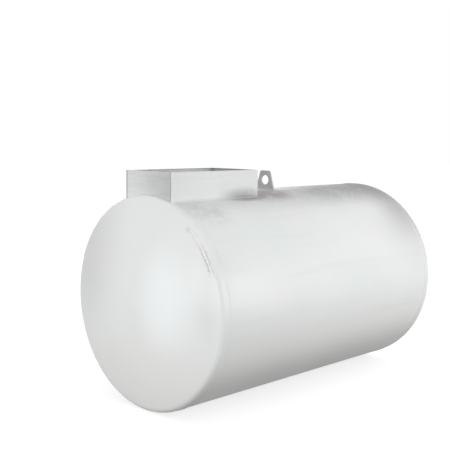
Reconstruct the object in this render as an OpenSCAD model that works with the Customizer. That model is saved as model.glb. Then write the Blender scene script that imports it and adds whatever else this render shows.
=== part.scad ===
// Underground fuel storage tank: a welded steel vessel that lies on its belly, with dished ends,
// an open-topped sheet-steel box round the fittings on top and one lifting lug at mid-length.
// Millimetres, +Z up, X along the tank with the box end at -X.
// The origin is on the ground, under the middle of the belly.

/* [Vessel] */
// Outside diameter of the shell
tank_d = 1270; // [1100:10:1600]
// Length between the tangent lines, where the knuckles of the two ends begin
tangent_l = 2030; // [1700:10:4000]
// Plate thickness of the shell
shell_t = 5; // [4:0.5:8]
// Plate thickness of the dished ends
head_t = 5; // [4:0.5:8]
// Outside radius of the crown of a dished end
crown_r = 1900; // [1600:50:4000]
// Outside radius of the knuckle of a dished end
knuckle_r = 30; // [20:5:100]
// Straight flange behind the knuckle of a dished end
head_flange = 35; // [25:5:60]

/* [Welds] */
// Width of a butt weld's cap
bead_w = 14; // [8:1:20]
// Height of a butt weld's cap over the plate
bead_h = 2.5; // [1:0.5:4]
// Place of the shell's seam, in degrees up from the horizontal on the far side
seam_angle = 25; // [10:5:50]
// Leg of the fillet weld round the foot of the box
box_weld = 6; // [3:1:8]
// Leg of the fillet welds in the box's inner corners
corner_weld = 5; // [2:0.5:6]
// Leg of the fillet welds round the sockets, the hatch neck and the lug
fitting_weld = 5; // [3:1:8]

/* [Fittings box] */
// Outside length of the box, along the tank
box_l = 720; // [660:5:900]
// Outside width of the box
box_w = 395; // [390:5:520]
// Height of the box's rim over the top of the shell
box_rise = 136; // [120:1:200]
// Sheet thickness of the box
box_t = 3; // [2:0.5:5]
// Width of the return folded inwards round the rim
lip_w = 15; // [12:1:18]
// Outside radius of the bend between a panel and its return
bend_r = 6; // [5:0.5:8]
// Depth by which the end panels sit back between the side panels
end_set_back = 2; // [0:0.5:6]

/* [Inspection hatch] */
// Outside diameter of the hatch neck
neck_d = 280; // [240:5:290]
// Wall thickness of the hatch neck
neck_t = 6; // [4:0.5:10]
// Outside diameter of the hatch flange, gasket and cover
hatch_d = 360; // [350:5:370]
// Distance from the hatch's centre back to the outside of the rear panel
hatch_back = 205; // [200:5:230]
// Height of the flange's underside over the top of the shell
flange_rise = 35; // [30:1:50]
// Thickness of the hatch flange
flange_t = 10; // [6:1:16]
// Thickness of the gasket
gasket_t = 3; // [2:0.5:5]
// Thickness of the hatch cover
cover_t = 8; // [5:1:12]
// Number of cover bolts
bolt_count = 12; // [8:2:16]
// Shank diameter of a cover bolt
bolt_d = 12; // [8:1:14]
// Diameter of the circle that the bolts stand on
bolt_circle_d = 330; // [325:1:335]
// Clearance of a bolt in its hole, on the diameter
bolt_play = 2; // [1:0.5:3]
// Diameter of the bar that the cover handles are bent from
handle_bar_d = 12; // [8:1:16]
// Distance between the two legs of a handle
handle_span = 110; // [90:5:140]
// Height of a handle over the cover, to the middle of its bar
handle_rise = 32; // [25:1:40]
// Distance of a handle from the middle of the cover
handle_offset = 80; // [60:5:100]

/* [Sockets] */
// Height of the sockets' mouths over the top of the shell
socket_rise = 60; // [50:1:75]
// Depth of the sockets below the inside of the shell's top
socket_drop = 30; // [25:1:40]
// Wall thickness of a socket
socket_t = 7; // [5:0.5:9]
// Bore of the fill socket
fill_bore_d = 85; // [60:1:90]
// Bore of the gauge socket
gauge_bore_d = 56.6; // [40:0.1:60]
// Bore of the vent socket
vent_bore_d = 44.8; // [30:0.1:50]
// Bore of the suction socket
suction_bore_d = 30.2; // [20:0.1:40]
// Bore of the return socket
return_bore_d = 24.2; // [15:0.1:35]
// Distance of the outer sockets from the middle of the tank
socket_side = 105; // [95:1:125]
// Radial clearance of a plug in its socket
plug_play = 0.5; // [0.2:0.1:1]
// Length of a plug's neck in its socket
plug_l = 18; // [10:1:30]
// Outside diameter of the earthing boss
earth_d = 24; // [18:1:36]
// Diameter of the earthing boss's tapped hole
earth_bore_d = 8.5; // [5:0.5:12]
// Height of the earthing boss over the top of the shell
earth_rise = 5; // [0:1:20]
// Depth of the earthing boss's tapped hole
earth_bore_l = 18; // [10:1:20]

/* [Lifting lug] */
// Plate thickness of the lug
lug_t = 12; // [8:1:25]
// Width of the lug at the shell
lug_base_w = 150; // [120:5:200]
// Width of the lug at its top
lug_top_w = 88; // [80:2:110]
// Height of the lug over the top of the shell
lug_h = 118; // [105:1:150]
// Diameter of the lug's eye
lug_eye_d = 62; // [40:1:64]
// Height of the eye's centre over the top of the shell
lug_eye_h = 57; // [45:1:65]
// Radius of the lug's top corners
lug_corner_r = 14; // [5:1:20]

/* [Hidden] */
$fn = 96;

// Cutters pass this far beyond the faces that they open
over = 1;
// The gap left where a flat face lies along a round one
flat_gap = 0.05;

coat = "whitesmoke";
bare_weld = "gainsboro";
zinc = "silver";

tank_r = tank_d / 2;
// The beads round the two ends are the lowest thing, so the tank stands on them
axis_z = tank_r + bead_h;
crown_z = axis_z + tank_r;
half_l = tangent_l / 2;
joint_x = half_l - head_flange;

knuckle_centre = tank_r - knuckle_r;
crown_angle = asin(knuckle_centre / (crown_r - knuckle_r));
head_depth = crown_r - (crown_r - knuckle_r) * cos(crown_angle);

box_front_x = -half_l;
box_rear_x = box_front_x + box_l;
box_side_y = box_w / 2;
rim_z = crown_z + box_rise;
// The inside of an end panel, measured from the end of the box; the rim's mitres start there
mitre_x = end_set_back + box_t;

hatch_x = box_rear_x - hatch_back;
flange_z = crown_z + flange_rise;
gasket_z = flange_z + flange_t;
cover_z = gasket_z + gasket_t;
cover_top_z = cover_z + cover_t;
neck_r = neck_d / 2;
// How far the hatch neck reaches down past the lowest point of its joint with the shell
neck_drop = 20;

// The two rows of sockets share out the room between the end's bead and the hatch
row_room_x = [bead_w / 2 - joint_x, hatch_x - hatch_d / 2];
small_row_w = vent_bore_d + 2 * socket_t;
large_row_w = fill_bore_d + 2 * socket_t;
row_gap = (row_room_x[1] - row_room_x[0] - small_row_w - large_row_w) / 3;
small_x = row_room_x[0] + row_gap + small_row_w / 2;
large_x = row_room_x[1] - row_gap - large_row_w / 2;
fill_at = [large_x, -socket_side];
gauge_at = [large_x, socket_side];
vent_at = [small_x, -socket_side];
suction_at = [small_x, 0];
return_at = [small_x, socket_side];
socket_top_z = crown_z + socket_rise;
socket_foot_z = crown_z - shell_t - socket_drop;
// The earthing boss stands in the gap between the hatch and the sockets
earth_at = [hatch_x - hatch_d / 2 - earth_d, socket_side + gauge_bore_d / 2 + socket_t + earth_d / 2];

// Height of the shell's top at a distance y from the middle
function shell_z(y) = axis_z + sqrt(pow(tank_r, 2) - pow(y, 2));

// Turns a shape about the Z axis into one about the tank's axis, as smooth as its size asks
module on_axis(x = 0) {
    $fn = 360;
    translate([x, 0, axis_z]) rotate([0, 90, 0]) children();
}

// A cylinder on the tank's axis, from one x to another
module tank_cylinder(r, x0, x1) {
    on_axis(x0) cylinder(r = r, h = x1 - x0);
}

// The outline of a dished end in its radius and its reach from the tangent line, set in by t
module head_outline(t, flange) {
    centre_z = head_depth - crown_r;
    square_to_axis = tank_r - t;
    translate([0, -flange]) square([square_to_axis, flange]);
    intersection() {
        translate([0, centre_z]) circle(r = crown_r - t, $fn = 720);
        polygon([
            [0, 0],
            [knuckle_centre, 0],
            [knuckle_centre + crown_r * sin(crown_angle), crown_r * cos(crown_angle)],
            [0, crown_r]
        ]);
    }
    intersection() {
        translate([knuckle_centre, 0]) circle(r = knuckle_r - t);
        translate([knuckle_centre, 0]) square(knuckle_r);
    }
}

// A dished end with its knuckle and straight flange, its crown towards +X
module head() {
    color(coat) on_axis(half_l) rotate_extrude() difference() {
        head_outline(0, head_flange);
        head_outline(head_t, head_flange + over);
    }
}

module rear_head() {
    head();
}

module front_head() {
    mirror([1, 0, 0]) head();
}

// The rolled shell, cut for the hatch neck and the sockets
module shell() {
    color(coat) difference() {
        tank_cylinder(tank_r, -joint_x, joint_x);
        tank_cylinder(tank_r - shell_t, -joint_x - over, joint_x + over);
        through_top([hatch_x, 0]) circle(r = neck_r);
        through_top(fill_at) circle(r = fill_bore_d / 2 + socket_t);
        through_top(gauge_at) circle(r = gauge_bore_d / 2 + socket_t);
        through_top(vent_at) circle(r = vent_bore_d / 2 + socket_t);
        through_top(suction_at) circle(r = suction_bore_d / 2 + socket_t);
        through_top(return_at) circle(r = return_bore_d / 2 + socket_t);
    }
}

// A cutter through the top of the shell, with the outline that it is given
module through_top(at) {
    translate([at.x, at.y, axis_z]) linear_extrude(tank_r + over) children();
}

// The section of a butt weld's cap: a low arc that stands on the plate
module bead_section(r) {
    arc_r = (pow(bead_w / 2, 2) + pow(bead_h, 2)) / (2 * bead_h);
    intersection() {
        translate([r + bead_h - arc_r, 0]) circle(r = arc_r);
        translate([r, -bead_w / 2]) square([bead_h, bead_w]);
    }
}

// The bead where a dished end's flange meets the shell
module girth_bead(x) {
    on_axis(x) rotate_extrude() bead_section(tank_r);
}

module front_head_weld() {
    color(bare_weld) girth_bead(-joint_x);
}

module rear_head_weld() {
    color(bare_weld) girth_bead(joint_x);
}

// The bead along the rolled shell's own joint, between the two girth beads
module shell_seam_weld() {
    seam_l = 2 * joint_x - bead_w;
    color(bare_weld) on_axis(-seam_l / 2) rotate([0, 0, 90 + seam_angle])
        linear_extrude(seam_l) bead_section(tank_r + flat_gap);
}

// A fillet weld that follows the shell: child 0 is its outer outline in plan, child 1 the welded piece's
module saddle_weld(leg) {
    intersection() {
        difference() {
            tank_cylinder(tank_r + leg, -half_l - leg, half_l);
            tank_cylinder(tank_r, -half_l - leg - over, half_l + over);
        }
        translate([0, 0, axis_z]) linear_extrude(tank_r + leg + over) difference() {
            children(0);
            children(1);
        }
    }
}

// The section of a box panel: a sheet that stands on end, folded inwards at the rim over a bend
module folded_sheet(h, fold_w) {
    square([box_t, h - bend_r]);
    intersection() {
        translate([bend_r, h - bend_r]) difference() {
            circle(r = bend_r);
            circle(r = bend_r - box_t);
        }
        translate([0, h - bend_r]) square(bend_r);
    }
    translate([bend_r, h - box_t]) square([fold_w - bend_r, box_t]);
}

// Cuts a standing piece of the box to the shell that it is welded to, and notches it for the bead
module coped() {
    difference() {
        children();
        tank_cylinder(tank_r, -half_l - over, half_l);
        girth_bead(-joint_x);
    }
}

// The front panel: it stands between the side panels, set back a little, mitred with them at the rim
module end_panel() {
    clear_w = box_w - 2 * box_t;
    face_x = box_front_x + end_set_back;
    color(coat) coped() intersection() {
        translate([face_x, clear_w / 2, axis_z]) rotate([90, 0, 0])
            linear_extrude(clear_w) folded_sheet(rim_z - axis_z, lip_w - end_set_back);
        translate([0, 0, axis_z]) linear_extrude(rim_z - axis_z) polygon([
            [face_x, -clear_w / 2],
            [box_front_x + mitre_x, -clear_w / 2],
            [box_front_x + mitre_x, mitre_x - box_side_y],
            [box_front_x + lip_w, lip_w - box_side_y],
            [box_front_x + lip_w, box_side_y - lip_w],
            [box_front_x + mitre_x, box_side_y - mitre_x],
            [box_front_x + mitre_x, clear_w / 2],
            [face_x, clear_w / 2]
        ]);
    }
}

module box_front_panel() {
    end_panel();
}

module box_rear_panel() {
    translate([box_front_x + box_rear_x, 0, 0]) mirror([1, 0, 0]) end_panel();
}

// The side panel towards -Y, as long as the box, mitred with the end panels at the rim
module side_panel() {
    color(coat) coped() intersection() {
        translate([box_front_x, -box_side_y, axis_z]) rotate([90, 0, 90])
            linear_extrude(box_l) folded_sheet(rim_z - axis_z, lip_w);
        translate([0, 0, axis_z]) linear_extrude(rim_z - axis_z) union() {
            translate([box_front_x, -box_side_y]) square([box_l, box_t]);
            polygon([
                [box_front_x + mitre_x, -box_side_y],
                [box_rear_x - mitre_x, -box_side_y],
                [box_rear_x - mitre_x, mitre_x - box_side_y],
                [box_rear_x - lip_w, lip_w - box_side_y],
                [box_front_x + lip_w, lip_w - box_side_y],
                [box_front_x + mitre_x, mitre_x - box_side_y]
            ]);
        }
    }
}

module box_right_panel() {
    side_panel();
}

module box_left_panel() {
    mirror([0, 1, 0]) side_panel();
}

// Fillet welds in the four inner corners of the box, from the shell up to the rim's bend
module box_corner_welds() {
    corner_y = box_side_y - box_t;
    color(bare_weld) coped() translate([0, 0, axis_z]) linear_extrude(rim_z - bend_r - axis_z)
        for (side = [-1, 1]) {
            polygon([
                [box_front_x + mitre_x, side * corner_y],
                [box_front_x + mitre_x + corner_weld, side * corner_y],
                [box_front_x + mitre_x, side * (corner_y - corner_weld)]
            ]);
            polygon([
                [box_rear_x - mitre_x, side * corner_y],
                [box_rear_x - mitre_x - corner_weld, side * corner_y],
                [box_rear_x - mitre_x, side * (corner_y - corner_weld)]
            ]);
        }
}

// The outline of the box's foot in plan, with its rear panel set back between the side panels
module box_foot_outline() {
    translate([box_front_x, -box_side_y]) square([box_l - end_set_back, box_w]);
    for (y = [-box_side_y, box_side_y - box_t])
        translate([box_front_x, y]) square([box_l, box_t]);
}

// The weld round the foot of the box, notched where the box crosses the end's bead
module box_base_weld() {
    color(bare_weld) difference() {
        saddle_weld(box_weld) {
            translate([box_front_x, -box_side_y - box_weld])
                square([box_l + box_weld, box_w + 2 * box_weld]);
            box_foot_outline();
        }
        girth_bead(-joint_x);
    }
}

// The neck of the inspection hatch, set through the shell
module hatch_neck() {
    foot_z = shell_z(neck_r) - neck_drop;
    color(coat) translate([hatch_x, 0, foot_z]) difference() {
        cylinder(r = neck_r, h = flange_z + flange_t - foot_z);
        translate([0, 0, -over]) cylinder(r = neck_r - neck_t, h = rim_z);
    }
}

module hatch_neck_weld() {
    color(bare_weld) saddle_weld(fitting_weld) {
        translate([hatch_x, 0]) circle(r = neck_r + fitting_weld);
        translate([hatch_x, 0]) circle(r = neck_r);
    }
}

// Places its children at each cover bolt
module at_bolts() {
    for (i = [0 : bolt_count - 1])
        translate([hatch_x, 0, 0]) rotate([0, 0, (i + 0.5) * 360 / bolt_count])
            translate([bolt_circle_d / 2, 0, 0]) children();
}

// A ring or disc of the hatch, drilled for the bolts
module hatch_ring(z, t, bore_r) {
    difference() {
        translate([hatch_x, 0, z]) cylinder(d = hatch_d, h = t);
        if (bore_r > 0)
            translate([hatch_x, 0, z - over]) cylinder(r = bore_r, h = t + 2 * over);
        at_bolts() translate([0, 0, z - over]) cylinder(d = bolt_d + bolt_play, h = t + 2 * over);
    }
}

module hatch_flange() {
    color(coat) hatch_ring(flange_z, flange_t, neck_r);
}

module hatch_gasket() {
    color("dimgray") hatch_ring(gasket_z, gasket_t, neck_r - neck_t);
}

module hatch_cover() {
    color(coat) hatch_ring(cover_z, cover_t, 0);
}

// A hexagon bolt with its washer on the cover and its nut under the flange
module cover_bolt() {
    across_flats = 1.6 * bolt_d;
    across_corners = across_flats / cos(30);
    washer_t = 2.5;
    head_h = 0.65 * bolt_d;
    nut_h = 0.8 * bolt_d;
    point = 4;
    translate([0, 0, cover_top_z]) cylinder(d = 2 * bolt_d, h = washer_t);
    translate([0, 0, cover_top_z + washer_t]) cylinder(d = across_corners, h = head_h, $fn = 6);
    translate([0, 0, flange_z - nut_h]) cylinder(d = across_corners, h = nut_h, $fn = 6);
    translate([0, 0, flange_z - nut_h - point])
        cylinder(d = bolt_d, h = cover_top_z - flange_z + nut_h + point);
}

module hatch_bolts() {
    color(zinc) at_bolts() cover_bolt();
}

// A bar handle, bent to a bow across the tank
module hatch_handle(x) {
    bar_r = handle_bar_d / 2;
    bow_r = 2 * handle_bar_d;
    leg_h = handle_rise - bow_r;
    reach = handle_span / 2;
    color(coat) translate([hatch_x + x, 0, cover_top_z]) {
        for (side = [0, 1]) mirror([0, side, 0]) {
            translate([0, reach, 0]) cylinder(r = bar_r, h = leg_h);
            translate([0, reach - bow_r, leg_h]) rotate([90, 0, 90])
                rotate_extrude(angle = 90) translate([bow_r, 0]) circle(r = bar_r);
        }
        translate([0, -reach + bow_r, handle_rise]) rotate([-90, 0, 0])
            cylinder(r = bar_r, h = 2 * (reach - bow_r));
    }
}

module hatch_front_handle() {
    hatch_handle(-handle_offset);
}

module hatch_rear_handle() {
    hatch_handle(handle_offset);
}

// A plain pipe socket that stands upright through the shell
module socket(at, bore_d) {
    color(coat) translate([at.x, at.y, socket_foot_z]) difference() {
        cylinder(d = bore_d + 2 * socket_t, h = socket_top_z - socket_foot_z);
        translate([0, 0, -over]) cylinder(d = bore_d, h = rim_z);
    }
}

module fill_socket() {
    socket(fill_at, fill_bore_d);
}

module gauge_socket() {
    socket(gauge_at, gauge_bore_d);
}

module vent_socket() {
    socket(vent_at, vent_bore_d);
}

module suction_socket() {
    socket(suction_at, suction_bore_d);
}

module return_socket() {
    socket(return_at, return_bore_d);
}

// The weld round one socket's foot
module socket_weld(at, bore_d) {
    outer_r = bore_d / 2 + socket_t;
    saddle_weld(fitting_weld) {
        translate(at) circle(r = outer_r + fitting_weld);
        translate(at) circle(r = outer_r);
    }
}

module socket_welds() {
    color(bare_weld) {
        socket_weld(fill_at, fill_bore_d);
        socket_weld(gauge_at, gauge_bore_d);
        socket_weld(vent_at, vent_bore_d);
        socket_weld(suction_at, suction_bore_d);
        socket_weld(return_at, return_bore_d);
    }
}

// The fill cap: a round cap with two ears, and a neck that enters the socket
module fill_cap() {
    cap_h = 20;
    ear_w = 14;
    ear_l = 14;
    cap_r = fill_bore_d / 2 + socket_t;
    color("darkgray") translate([fill_at.x, fill_at.y, socket_top_z]) union() {
        translate([0, 0, -plug_l]) cylinder(r = fill_bore_d / 2 - plug_play, h = plug_l);
        cylinder(r = cap_r, h = cap_h);
        translate([-ear_w / 2, -cap_r - ear_l, 0]) cube([ear_w, 2 * (cap_r + ear_l), cap_h / 2]);
    }
}

// The plug of the gauge socket, with a hexagon head
module gauge_plug() {
    collar_h = 6;
    hex_h = 14;
    color(zinc) translate([gauge_at.x, gauge_at.y, socket_top_z]) union() {
        translate([0, 0, -plug_l]) cylinder(r = gauge_bore_d / 2 - plug_play, h = plug_l);
        cylinder(r = gauge_bore_d / 2 + socket_t, h = collar_h);
        cylinder(d = gauge_bore_d, h = collar_h + hex_h, $fn = 6);
    }
}

// The tapped boss for the earth cable
module earthing_boss() {
    boss_top_z = crown_z + earth_rise;
    color(zinc) difference() {
        translate([earth_at.x, earth_at.y, axis_z]) cylinder(d = earth_d, h = boss_top_z - axis_z);
        tank_cylinder(tank_r, -joint_x, joint_x);
        translate([earth_at.x, earth_at.y, boss_top_z - earth_bore_l])
            cylinder(d = earth_bore_d, h = earth_bore_l + over);
    }
}

// The lug's outline across the tank, from the middle of the shell's top
module lug_outline() {
    foot = 2 * lug_corner_r;
    difference() {
        hull() {
            translate([-lug_base_w / 2, -foot]) square([lug_base_w, foot]);
            for (side = [-1, 1])
                translate([side * (lug_top_w / 2 - lug_corner_r), lug_h - lug_corner_r])
                    circle(r = lug_corner_r, $fn = 32);
        }
        translate([0, lug_eye_h]) circle(d = lug_eye_d);
    }
}

module lifting_lug() {
    color(coat) difference() {
        translate([-lug_t / 2, 0, crown_z]) rotate([90, 0, 90]) linear_extrude(lug_t) lug_outline();
        tank_cylinder(tank_r, -joint_x, joint_x);
    }
}

module lug_weld() {
    color(bare_weld) saddle_weld(fitting_weld) {
        square([lug_t + 2 * fitting_weld, lug_base_w + 2 * fitting_weld], center = true);
        square([lug_t, lug_base_w], center = true);
    }
}

front_head();
rear_head();
shell();
front_head_weld();
rear_head_weld();
shell_seam_weld();
box_front_panel();
box_rear_panel();
box_left_panel();
box_right_panel();
box_corner_welds();
box_base_weld();
hatch_neck();
hatch_neck_weld();
hatch_flange();
hatch_gasket();
hatch_cover();
hatch_bolts();
hatch_front_handle();
hatch_rear_handle();
fill_socket();
fill_cap();
gauge_socket();
gauge_plug();
vent_socket();
suction_socket();
return_socket();
socket_welds();
earthing_boss();
lifting_lug();
lug_weld();
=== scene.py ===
"""Dresses an underground fuel tank: its coat, welds, box, hatch, sockets, lug and studio.

Lengths are in metres. The ground is z = 0, and the tank lies along X with its box end at -X.
"""

import math

import bmesh
import bpy
from mathutils import Matrix, Vector


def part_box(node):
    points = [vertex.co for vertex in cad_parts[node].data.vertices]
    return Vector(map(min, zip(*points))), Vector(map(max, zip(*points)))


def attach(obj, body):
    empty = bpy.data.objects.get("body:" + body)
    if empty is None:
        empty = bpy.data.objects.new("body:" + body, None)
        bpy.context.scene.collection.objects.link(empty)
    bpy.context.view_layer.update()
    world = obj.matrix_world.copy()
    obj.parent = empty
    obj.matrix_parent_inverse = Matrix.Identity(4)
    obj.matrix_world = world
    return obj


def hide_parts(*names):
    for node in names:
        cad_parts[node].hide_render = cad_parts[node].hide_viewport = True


bl_info = {
    "name": "Underground fuel tank",
    "version": (1, 0, 0),
    "blender": (4, 5, 0),
    "location": "View3D > Sidebar > Fuel tank",
    "description": "Coats, welds and fits out an underground fuel tank, and sets up its studio",
    "category": "Object",
}

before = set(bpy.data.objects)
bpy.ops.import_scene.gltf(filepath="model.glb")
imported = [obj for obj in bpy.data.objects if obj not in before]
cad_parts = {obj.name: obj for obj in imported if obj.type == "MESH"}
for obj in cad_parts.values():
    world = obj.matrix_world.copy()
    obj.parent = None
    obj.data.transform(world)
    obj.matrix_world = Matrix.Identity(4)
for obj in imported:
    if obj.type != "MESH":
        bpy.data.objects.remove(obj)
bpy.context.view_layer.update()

MM = 0.001
UP = Vector((0, 0, 1))
ORIGIN = Vector((0, 0, 0))

shell_low, shell_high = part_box("shell")
TANK_R = (shell_high.z - shell_low.z) / 2
AXIS_Z = (shell_high.z + shell_low.z) / 2
CROWN_Z = shell_high.z
JOINT_X = shell_high.x
BEAD_H = shell_low.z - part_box("front_head_weld")[0].z

side_low, side_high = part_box("box_right_panel")
BOX_FRONT_X, BOX_REAR_X = side_low.x, side_high.x
BOX_SIDE_Y = -side_low.y
SHEET_T = 3 * MM
END_SET_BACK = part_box("box_front_panel")[0].x - BOX_FRONT_X
RIM_BEND_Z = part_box("box_corner_welds")[1].z


def upright(node):
    """An upright round node's middle, its radius, and the heights of its foot and its top."""
    low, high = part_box(node)
    return (low + high) / 2, (high.x - low.x) / 2, low.z, high.z


HATCH_AT, NECK_R, _, _ = upright("hatch_neck")
COVER_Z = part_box("hatch_cover")[1].z
FLANGE_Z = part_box("hatch_flange")[0].z

# The bores of the sockets, which their mounts in the record repeat
SOCKET_BORES = {
    "fill_socket": 85 * MM,
    "gauge_socket": 56.6 * MM,
    "vent_socket": 44.8 * MM,
    "suction_socket": 30.2 * MM,
    "return_socket": 24.2 * MM,
}


# ---------------------------------------------------------------- node trees


class Wire:
    """One output of a node, with Python's operators for the sums made on it."""

    def __init__(self, tree, socket):
        self.tree = tree
        self.socket = socket

    def __add__(self, other):
        return self.tree.sum("ADD", self, other)

    def __sub__(self, other):
        return self.tree.sum("SUBTRACT", self, other)

    def __rsub__(self, other):
        return self.tree.sum("SUBTRACT", other, self)

    def __mul__(self, other):
        return self.tree.sum("MULTIPLY", self, other)

    def __truediv__(self, other):
        return self.tree.sum("DIVIDE", self, other)

    def __rtruediv__(self, other):
        return self.tree.sum("DIVIDE", other, self)

    def __abs__(self):
        return self.tree.sum("ABSOLUTE", self)

    __radd__ = __add__
    __rmul__ = __mul__


class Tree:
    """A node tree that is being wired up."""

    def __init__(self, node_tree):
        self.tree = node_tree

    @staticmethod
    def find(sockets, key):
        """A socket by its place, its identifier or its name."""
        if isinstance(key, int):
            return sockets[key]
        return next(s for s in sockets if key in (s.identifier, s.name))

    def node(self, kind, settings=None, sockets=None, output=0):
        """A new node with its settings, then its sockets' values or wires; gives one output."""
        made = self.tree.nodes.new(kind)
        for name, value in (settings or {}).items():
            setattr(made, name, value)
        for key, value in (sockets or {}).items():
            socket = self.find(made.inputs, key)
            if isinstance(value, Wire):
                self.tree.links.new(value.socket, socket)
            else:
                socket.default_value = value
        return Wire(self, self.find(made.outputs, output)) if made.outputs else made

    def other(self, wire, output):
        """Another output of the node that a wire comes from."""
        return Wire(self, self.find(wire.socket.node.outputs, output))

    def sum(self, operation, *values):
        """A Math node on wires and numbers."""
        return self.node("ShaderNodeMath", {"operation": operation}, dict(enumerate(values)))

    def vector(self, x, y, z):
        """A vector from wires and numbers."""
        return self.node("ShaderNodeCombineXYZ", None, {"X": x, "Y": y, "Z": z})

    def turn(self, operation, *values, output=0):
        """A Vector Math node on wires and vectors."""
        values = dict(enumerate(values))
        return self.node("ShaderNodeVectorMath", {"operation": operation}, values, output)

    def store(self, geometry, name, value):
        """A geometry whose points keep a value under a name."""
        return self.node("GeometryNodeStoreNamedAttribute", None, {
            "Geometry": geometry, "Name": name, "Value": value})

    def stored(self, name, kind="FLOAT"):
        """The value that a geometry's points keep under a name."""
        return self.node("GeometryNodeInputNamedAttribute", {"data_type": kind}, {"Name": name})

    def sweep(self, path, outline):
        """A solid swept along a path, with its ends closed."""
        return self.node("GeometryNodeCurveToMesh", None, {
            "Curve": path, "Profile Curve": outline, "Fill Caps": True})

    def seen(self):
        """1 for a ray from the camera, off something glossy or through glass, and 0 for light."""
        camera = self.node("ShaderNodeLightPath", output="Is Camera Ray")
        mirrored = self.sum("MAXIMUM", camera, self.other(camera, "Is Glossy Ray"))
        return self.sum("MAXIMUM", mirrored, self.other(camera, "Is Transmission Ray"))


class Finish(Tree):
    """A material's node tree, with the patterns that the finishes share."""

    def __init__(self, name):
        self.material = bpy.data.materials.new(name)
        self.material.use_nodes = True
        super().__init__(self.material.node_tree)
        self.tree.nodes.clear()
        self.place = self.node("ShaderNodeTexCoord", output="Object")
        self.x = self.node("ShaderNodeSeparateXYZ", None, {0: self.place}, "X")
        self.y = self.other(self.x, "Y")
        self.z = self.other(self.x, "Z")

    def noise(self, scale, detail=2.0, rough=0.5, at=None, warp=0.0):
        """Noise of about 0 to 1 over a place, by its lumps in each metre."""
        values = {"Scale": scale, "Detail": detail, "Roughness": rough, "Distortion": warp}
        return self.node("ShaderNodeTexNoise", None, {"Vector": at or self.place, **values}, "Fac")

    def stretched(self, x, y, z):
        """The place with each direction scaled, for grain that runs along the least scaled."""
        return self.turn("MULTIPLY", self.place, (x, y, z))

    def step(self, value, low, high):
        """0 below low and 1 over high, with a smooth slope between; low may be over high."""
        sockets = {"Value": value, "From Min": low, "From Max": high}
        return self.node("ShaderNodeMapRange", {"interpolation_type": "SMOOTHSTEP"}, sockets)

    def near(self, centre, reach):
        """1 at a point and 0 from a reach away, which may differ in X, Y and Z."""
        away = self.turn("SUBTRACT", self.place, centre)
        scaled = self.turn("DIVIDE", away, reach)
        return self.step(self.turn("LENGTH", scaled, output="Value"), 1.0, 0.15)

    def blend(self, share, under, over):
        """A colour that goes from one to another with a share of 0 to 1."""
        sockets = {"Factor_Float": share, "A_Color": under, "B_Color": over}
        return self.node("ShaderNodeMix", {"data_type": "RGBA"}, sockets, "Result_Color")

    def layered(self, under, *layers):
        """A colour with others over it, each a share of 0 to 1 and its colour."""
        for share, over in layers:
            under = self.blend(share, under, over)
        return under

    def bump(self, height, distance, strength=1.0, under=None):
        """A normal from a height field, on top of another normal."""
        sockets = {"Strength": strength, "Distance": distance, "Height": height}
        if under:
            sockets["Normal"] = under
        return self.node("ShaderNodeBump", None, sockets)

    def worn(self, colours, wear, edges, roughness, grain, depth, strength, metallic=0.0):
        """Ends the tree in a plain surface, worn from one colour to another, with a fine grain."""
        return self.surface({
            "Base Color": self.blend(self.step(wear, *edges), *colours),
            "Metallic": metallic,
            "Roughness": roughness,
            "Normal": self.bump(grain, depth, strength),
        })

    def surface(self, sockets):
        """Ends the tree in a Principled surface, and gives the material."""
        shader = self.node("ShaderNodeBsdfPrincipled", None, sockets)
        self.node("ShaderNodeOutputMaterial", None, {"Surface": shader})
        return self.material


# ------------------------------------------------------------------ finishes

# Marks on the coat, each with its centre and how far it reaches in X, Y and Z: dust, a painted
# shadow at the box's foot, a painted highlight on the front end and a scuff
DUST_BEHIND_BOX = (BOX_REAR_X + 0.10, -0.17, CROWN_Z - 0.02), (0.34, 0.17, 0.08)
DUST_BESIDE_BOX = (-0.84, -BOX_SIDE_Y - 0.10, CROWN_Z - 0.09), (0.24, 0.20, 0.14)
# Painted contact shadow on the shell along the foot of the box's near side, darkest at its core
BOX_FOOT_SHADE = (BOX_REAR_X - 0.13, -BOX_SIDE_Y, CROWN_Z - 0.022), (0.26, 0.07, 0.072)
BOX_FOOT_SHADE_CORE = (BOX_REAR_X - 0.10, -BOX_SIDE_Y - 0.016, CROWN_Z - 0.038), (0.19, 0.05, 0.034)
# A painted highlight in the middle of the front end
PAINTED_HIGHLIGHT_ON_END = (-JOINT_X - 0.14, -0.25, AXIS_Z + 0.05), (0.3, 0.26, 0.42)
SCUFF = (-JOINT_X - 0.069, -0.3715, AXIS_Z + 0.468), (0.03, 0.022, 0.024)

# Places where shade is painted into the coat, each with its centre, its reach and its strength
SHADE_FAR_SIDE = (-JOINT_X - 0.03, 0.50, AXIS_Z + 0.26), (0.3, 0.50, 0.60), 1.5
SHADE_REAR = (JOINT_X, -0.50, AXIS_Z + 0.38), (0.56, 0.36, 0.42), 1.4
SHADE_KNUCKLE = (-JOINT_X - 0.04, -0.54, AXIS_Z + 0.10), (0.16, 0.13, 0.36), 1.0

# The crease pressed inside the front end's rim: its inner furrow's radius, and the steps outwards
CREASE_R = 0.589
TO_RIDGE, TO_OUTER_FURROW = 10 * MM, 19 * MM

# The crease's furrows, dark with painted shade, which the scuff's mark shares, and the plain
# finishes' colours, each clean and then worn
FURROW_SHADE_AND_SCUFF = (0.30, 0.31, 0.32, 1)
ZINC = (0.62, 0.64, 0.65, 1), (0.40, 0.41, 0.41, 1)
ALLOY = (0.50, 0.51, 0.52, 1), (0.33, 0.34, 0.35, 1)
STEEL = (0.36, 0.35, 0.34, 1), (0.16, 0.12, 0.09, 1)
RUBBER = (0.022, 0.022, 0.024, 1), (0.07, 0.07, 0.07, 1)


def from_axis(finish):
    """The distance from the vessel's axis."""
    rise = finish.z - AXIS_Z
    return finish.sum("SQRT", finish.y * finish.y + rise * rise)


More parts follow.
